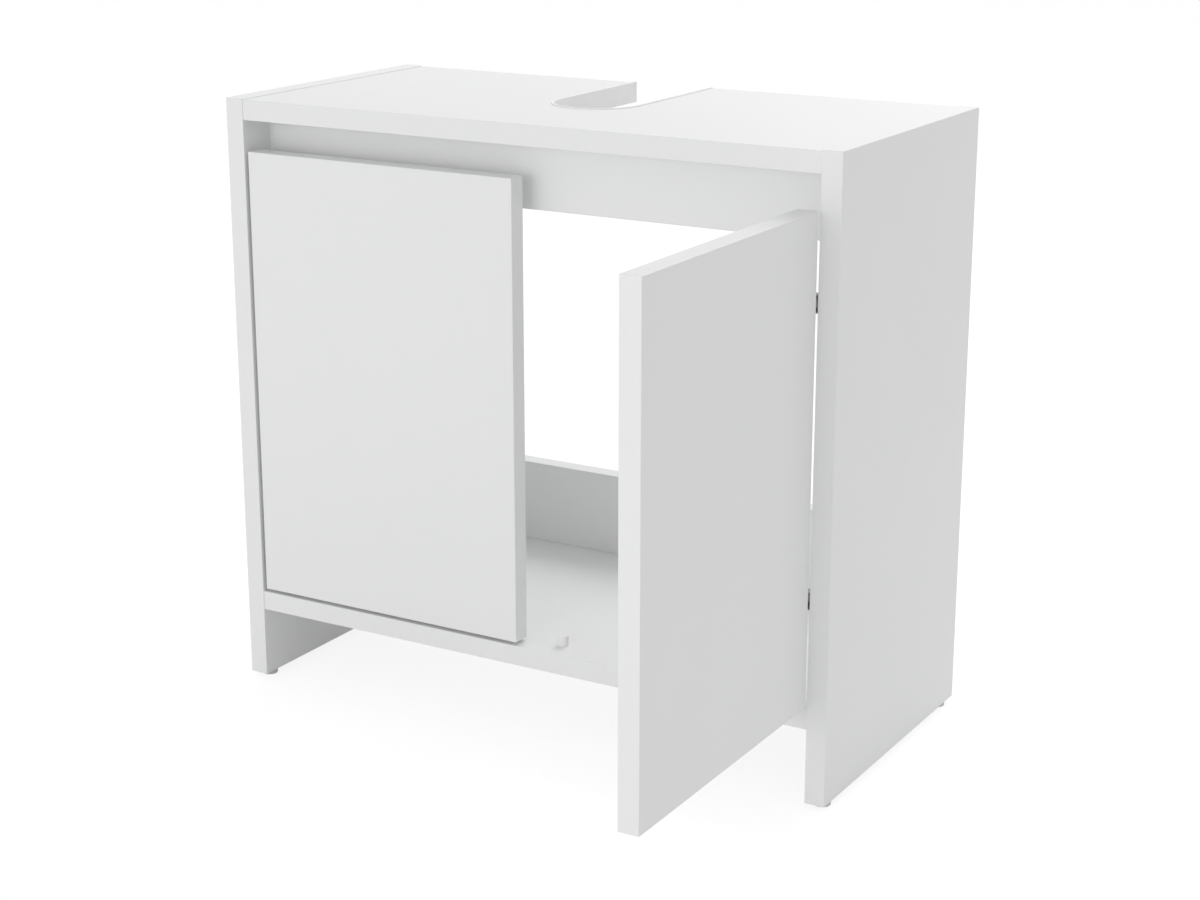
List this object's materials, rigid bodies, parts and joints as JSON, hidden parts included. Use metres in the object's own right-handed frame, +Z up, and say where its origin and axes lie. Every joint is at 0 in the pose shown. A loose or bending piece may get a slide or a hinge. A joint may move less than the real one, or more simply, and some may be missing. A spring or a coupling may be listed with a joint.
{
  "type": "sink base cabinet",
  "caption": "Low sink base cabinet with a raised bottom, a pipe cut-out in its top panel and inset doors on concealed hinges, one standing open.",
  "frame": {"origin": "on the floor, midway between the side panels, in the plane of their front edges; this is the bottom centre of the bounding box, because the open door reaches as far forward as the carcass is deep", "axes": "+X to the right seen from the front, +Y from the front to the wall, +Z up"},
  "size_m": [0.6, 0.56, 0.551],
  "materials": {
    "white_laminate_board": "particle board with a smooth satin white laminate on all faces and edges",
    "glide_plastic": "matte white moulded plastic",
    "edging_plastic": "smooth satin white plastic edging",
    "stop_plastic": "matte white moulded plastic",
    "cam_zinc": "plain die-cast zinc, slightly rough",
    "bolt_steel": "zinc-plated steel",
    "dowel_beech": "bare fluted beech",
    "hinge_nickel": null,
    "screw_steel": "zinc-plated steel",
    "pin_steel": "plain hardened steel"
  },
  "bodies": {
    "carcass": {"top_panel": "white_laminate_board", "cutout_edging": "edging_plastic", "bottom_panel": "white_laminate_board", "front_rail": "white_laminate_board", "rear_rail": "white_laminate_board", "left_side_panel": "white_laminate_board", "right_side_panel": "white_laminate_board", "glide_feet": "glide_plastic", "door_stops": "stop_plastic", "cam_housings": "cam_zinc", "cam_bolts": "bolt_steel", "dowels": "dowel_beech", "left_hinge_arms": "hinge_nickel", "left_mounting_plates": "hinge_nickel", "left_plate_screws": "screw_steel", "left_arm_screws": "screw_steel", "left_arm_rivets": "pin_steel", "right_hinge_arms": "hinge_nickel", "right_mounting_plates": "hinge_nickel", "right_plate_screws": "screw_steel", "right_arm_screws": "screw_steel", "right_arm_rivets": "pin_steel"},
    "left_leaf": {"left_door": "white_laminate_board", "left_hinge_cups": "hinge_nickel", "left_cup_screws": "screw_steel", "left_cup_pins": "pin_steel"},
    "left_outer_link_pair": {"left_outer_links": "hinge_nickel"},
    "left_inner_link_pair": {"left_inner_links": "hinge_nickel"},
    "right_leaf": {"right_door": "white_laminate_board", "right_hinge_cups": "hinge_nickel", "right_cup_screws": "screw_steel", "right_cup_pins": "pin_steel"},
    "right_outer_link_pair": {"right_outer_links": "hinge_nickel"},
    "right_inner_link_pair": {"right_inner_links": "hinge_nickel"}
  },
  "joints": [
    {"name": "left_door_hinge", "type": "hinge", "parent": "carcass", "child": "left_leaf", "pos_m": [-0.2824, 0.0009, 0.29775], "axis": [0, 0, -1], "range_deg": [0, 95]},
    {"name": "left_outer_link_pivot", "type": "hinge", "parent": "left_leaf", "child": "left_outer_link_pair", "pos_m": [-0.273, 0.0202, 0.29775], "axis": [0, 0, 1], "range_deg": [-1, 170]},
    {"name": "left_inner_link_pivot", "type": "hinge", "parent": "left_leaf", "child": "left_inner_link_pair", "pos_m": [-0.273, 0.0163, 0.29775], "axis": [0, 0, 1], "range_deg": [-1, 155]},
    {"name": "right_door_hinge", "type": "hinge", "parent": "carcass", "child": "right_leaf", "pos_m": [0.2824, 0.0009, 0.29775], "axis": [0, 0, 1], "range_deg": [-90, 5]},
    {"name": "right_outer_link_pivot", "type": "hinge", "parent": "right_leaf", "child": "right_outer_link_pair", "pos_m": [0.2631, -0.0085, 0.29775], "axis": [0, 0, -1], "range_deg": [-161, 10]},
    {"name": "right_inner_link_pivot", "type": "hinge", "parent": "right_leaf", "child": "right_inner_link_pair", "pos_m": [0.267, -0.0085, 0.29775], "axis": [0, 0, -1], "range_deg": [-147, 10]}
  ],
  "couplings": [
    {"joint": "left_outer_link_pivot", "follows": "left_door_hinge", "ratio": 1.7739},
    {"joint": "left_inner_link_pivot", "follows": "left_door_hinge", "ratio": 1.6168},
    {"joint": "right_outer_link_pivot", "follows": "right_door_hinge", "ratio": 1.7739},
    {"joint": "right_inner_link_pivot", "follows": "right_door_hinge", "ratio": 1.6168}
  ]
}
